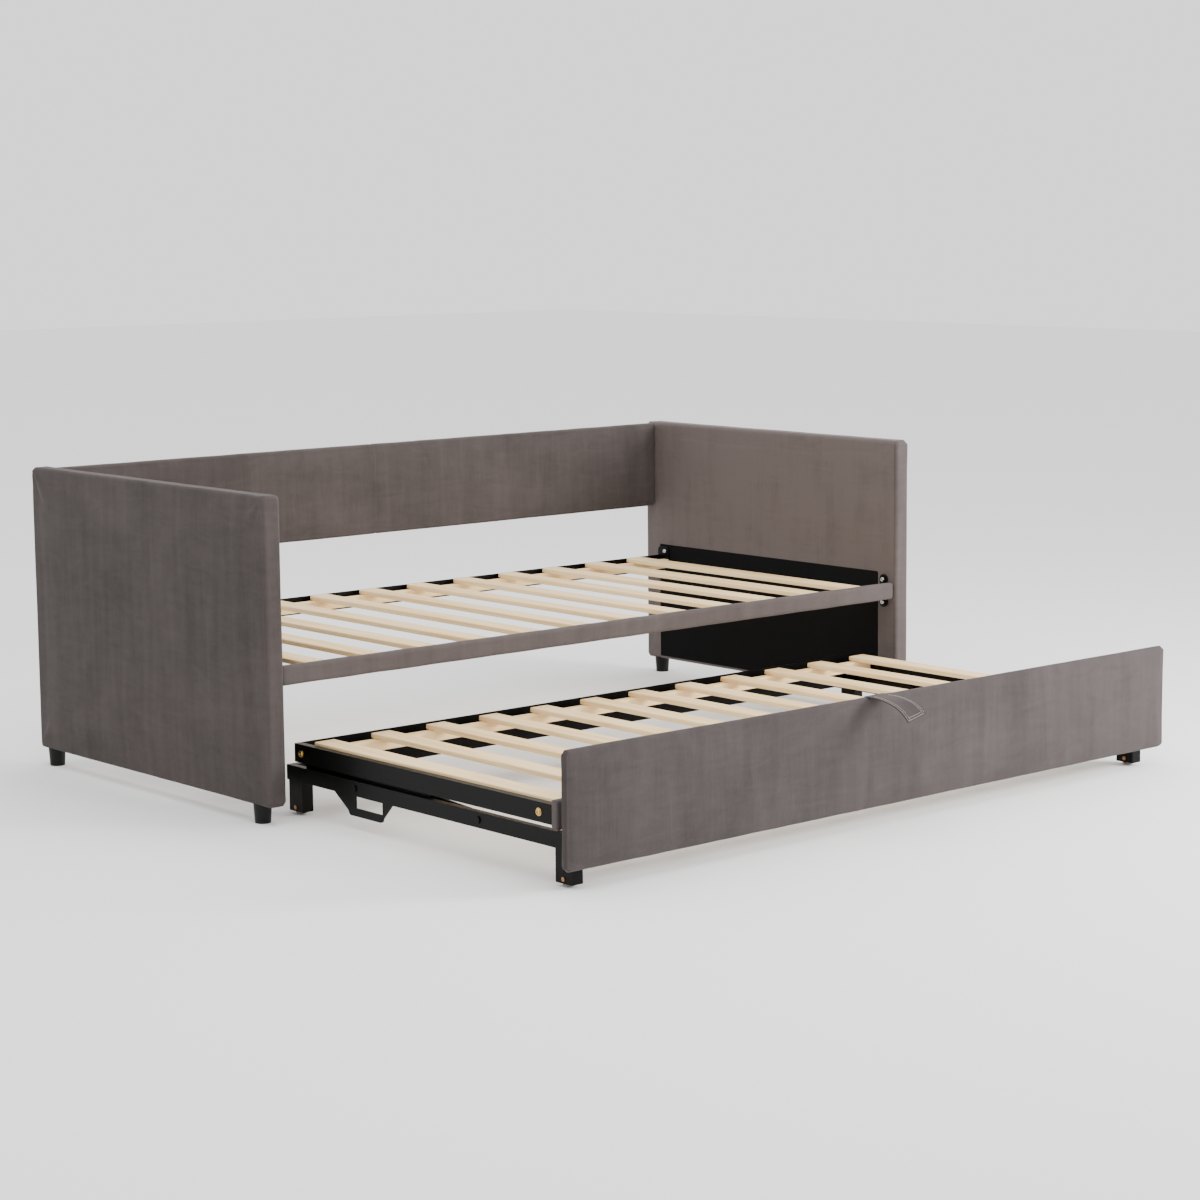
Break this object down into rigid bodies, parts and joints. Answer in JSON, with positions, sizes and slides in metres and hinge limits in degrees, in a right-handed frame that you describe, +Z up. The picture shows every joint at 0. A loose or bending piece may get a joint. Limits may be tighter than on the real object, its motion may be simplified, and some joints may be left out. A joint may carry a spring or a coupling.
{
  "type": "trundle bed",
  "caption": "Upholstered velvet daybed on slatted steel rails with a wheeled trundle that slides out and a slatted trundle deck that rises level on folding links.",
  "frame": {"origin": "on the floor, under the centre of the bounding box with the trundle pulled out and its deck down", "axes": "+X along the bed, +Y towards the back panel so the open front faces -Y, +Z up"},
  "size_m": [2.06, 2.043, 0.735],
  "materials": {
    "velvet": "matte pile",
    "plywood": "raw",
    "pine": "planed, unvarnished",
    "black_steel": "satin powder coat",
    "black_plastic": "fine texture",
    "wheel_plastic": "smooth",
    "dust_cover": "matte nonwoven"
  },
  "bodies": {
    "daybed": {"left_arm_board": "plywood", "left_arm_cover": "velvet", "left_arm_lining": "dust_cover", "right_arm_board": "plywood", "right_arm_cover": "velvet", "right_arm_lining": "dust_cover", "back_panel": "velvet", "front_rail_cover": "velvet", "front_rail": "black_steel", "rear_rail": "black_steel", "daybed_front_batten": "pine", "daybed_rear_batten": "pine", "foot_front_left": "black_plastic", "foot_rear_left": "black_plastic", "foot_front_right": "black_plastic", "foot_rear_right": "black_plastic", "daybed_slat_01": "pine", "daybed_slat_02": "pine", "daybed_slat_03": "pine", "daybed_slat_04": "pine", "daybed_slat_05": "pine", "daybed_slat_06": "pine", "daybed_slat_07": "pine", "daybed_slat_08": "pine", "daybed_slat_09": "pine", "daybed_slat_10": "pine", "daybed_slat_11": "pine", "daybed_slat_12": "pine"},
    "carriage": {"carriage_left_frame": "black_steel", "carriage_right_frame": "black_steel", "carriage_rear_rail": "black_steel", "carriage_front_rail": "black_steel"},
    "rear_lift_arms": {"left_rear_lift_link": "black_steel", "right_rear_lift_link": "black_steel"},
    "front_lift_arms": {"left_front_lift_link": "black_steel", "right_front_lift_link": "black_steel"},
    "deck": {"deck_left_rail": "black_steel", "deck_right_rail": "black_steel", "deck_rear_rail": "black_steel", "deck_front_rail": "velvet", "trundle_front_batten": "pine", "trundle_rear_batten": "pine", "front_panel": "velvet", "pull_strap": "velvet", "trundle_slat_01": "pine", "trundle_slat_02": "pine", "trundle_slat_03": "pine", "trundle_slat_04": "pine", "trundle_slat_05": "pine", "trundle_slat_06": "pine", "trundle_slat_07": "pine", "trundle_slat_08": "pine", "trundle_slat_09": "pine", "trundle_slat_10": "pine", "trundle_slat_11": "pine", "trundle_slat_12": "pine"},
    "wheel_rear_left": {"wheel_rear_left": "wheel_plastic"},
    "wheel_rear_right": {"wheel_rear_right": "wheel_plastic"},
    "wheel_front_left": {"wheel_front_left": "wheel_plastic"},
    "wheel_front_right": {"wheel_front_right": "wheel_plastic"}
  },
  "joints": [
    {"name": "trundle_slide", "type": "slide", "parent": "daybed", "child": "carriage", "axis": [0, -1, 0], "range_m": [-0.88, 0.3]},
    {"name": "deck_lift", "type": "hinge", "parent": "carriage", "child": "rear_lift_arms", "pos_m": [0, -0.1305, 0.095], "axis": [1, 0, 0], "range_deg": [0, 78.3]},
    {"name": "front_arm_pivot", "type": "hinge", "parent": "carriage", "child": "front_lift_arms", "pos_m": [0, -0.5675, 0.095], "axis": [1, 0, 0], "range_deg": [0, 78.3]},
    {"name": "deck_level", "type": "hinge", "parent": "rear_lift_arms", "child": "deck", "pos_m": [0, 0.06413, 0.107], "axis": [1, 0, 0], "range_deg": [-78.3, 0]},
    {"name": "wheel_rear_left_spin", "type": "hinge", "parent": "carriage", "child": "wheel_rear_left", "pos_m": [-0.893, 0.0965, 0.0175], "axis": [1, 0, 0], "continuous": true},
    {"name": "wheel_rear_right_spin", "type": "hinge", "parent": "carriage", "child": "wheel_rear_right", "pos_m": [0.893, 0.0965, 0.0175], "axis": [1, 0, 0], "continuous": true},
    {"name": "wheel_front_left_spin", "type": "hinge", "parent": "carriage", "child": "wheel_front_left", "pos_m": [-0.893, -0.8435, 0.0175], "axis": [1, 0, 0], "continuous": true},
    {"name": "wheel_front_right_spin", "type": "hinge", "parent": "carriage", "child": "wheel_front_right", "pos_m": [0.893, -0.8435, 0.0175], "axis": [1, 0, 0], "continuous": true}
  ],
  "couplings": [
    {"joint": "front_arm_pivot", "follows": "deck_lift", "ratio": 1},
    {"joint": "deck_level", "follows": "deck_lift", "ratio": -1}
  ]
}
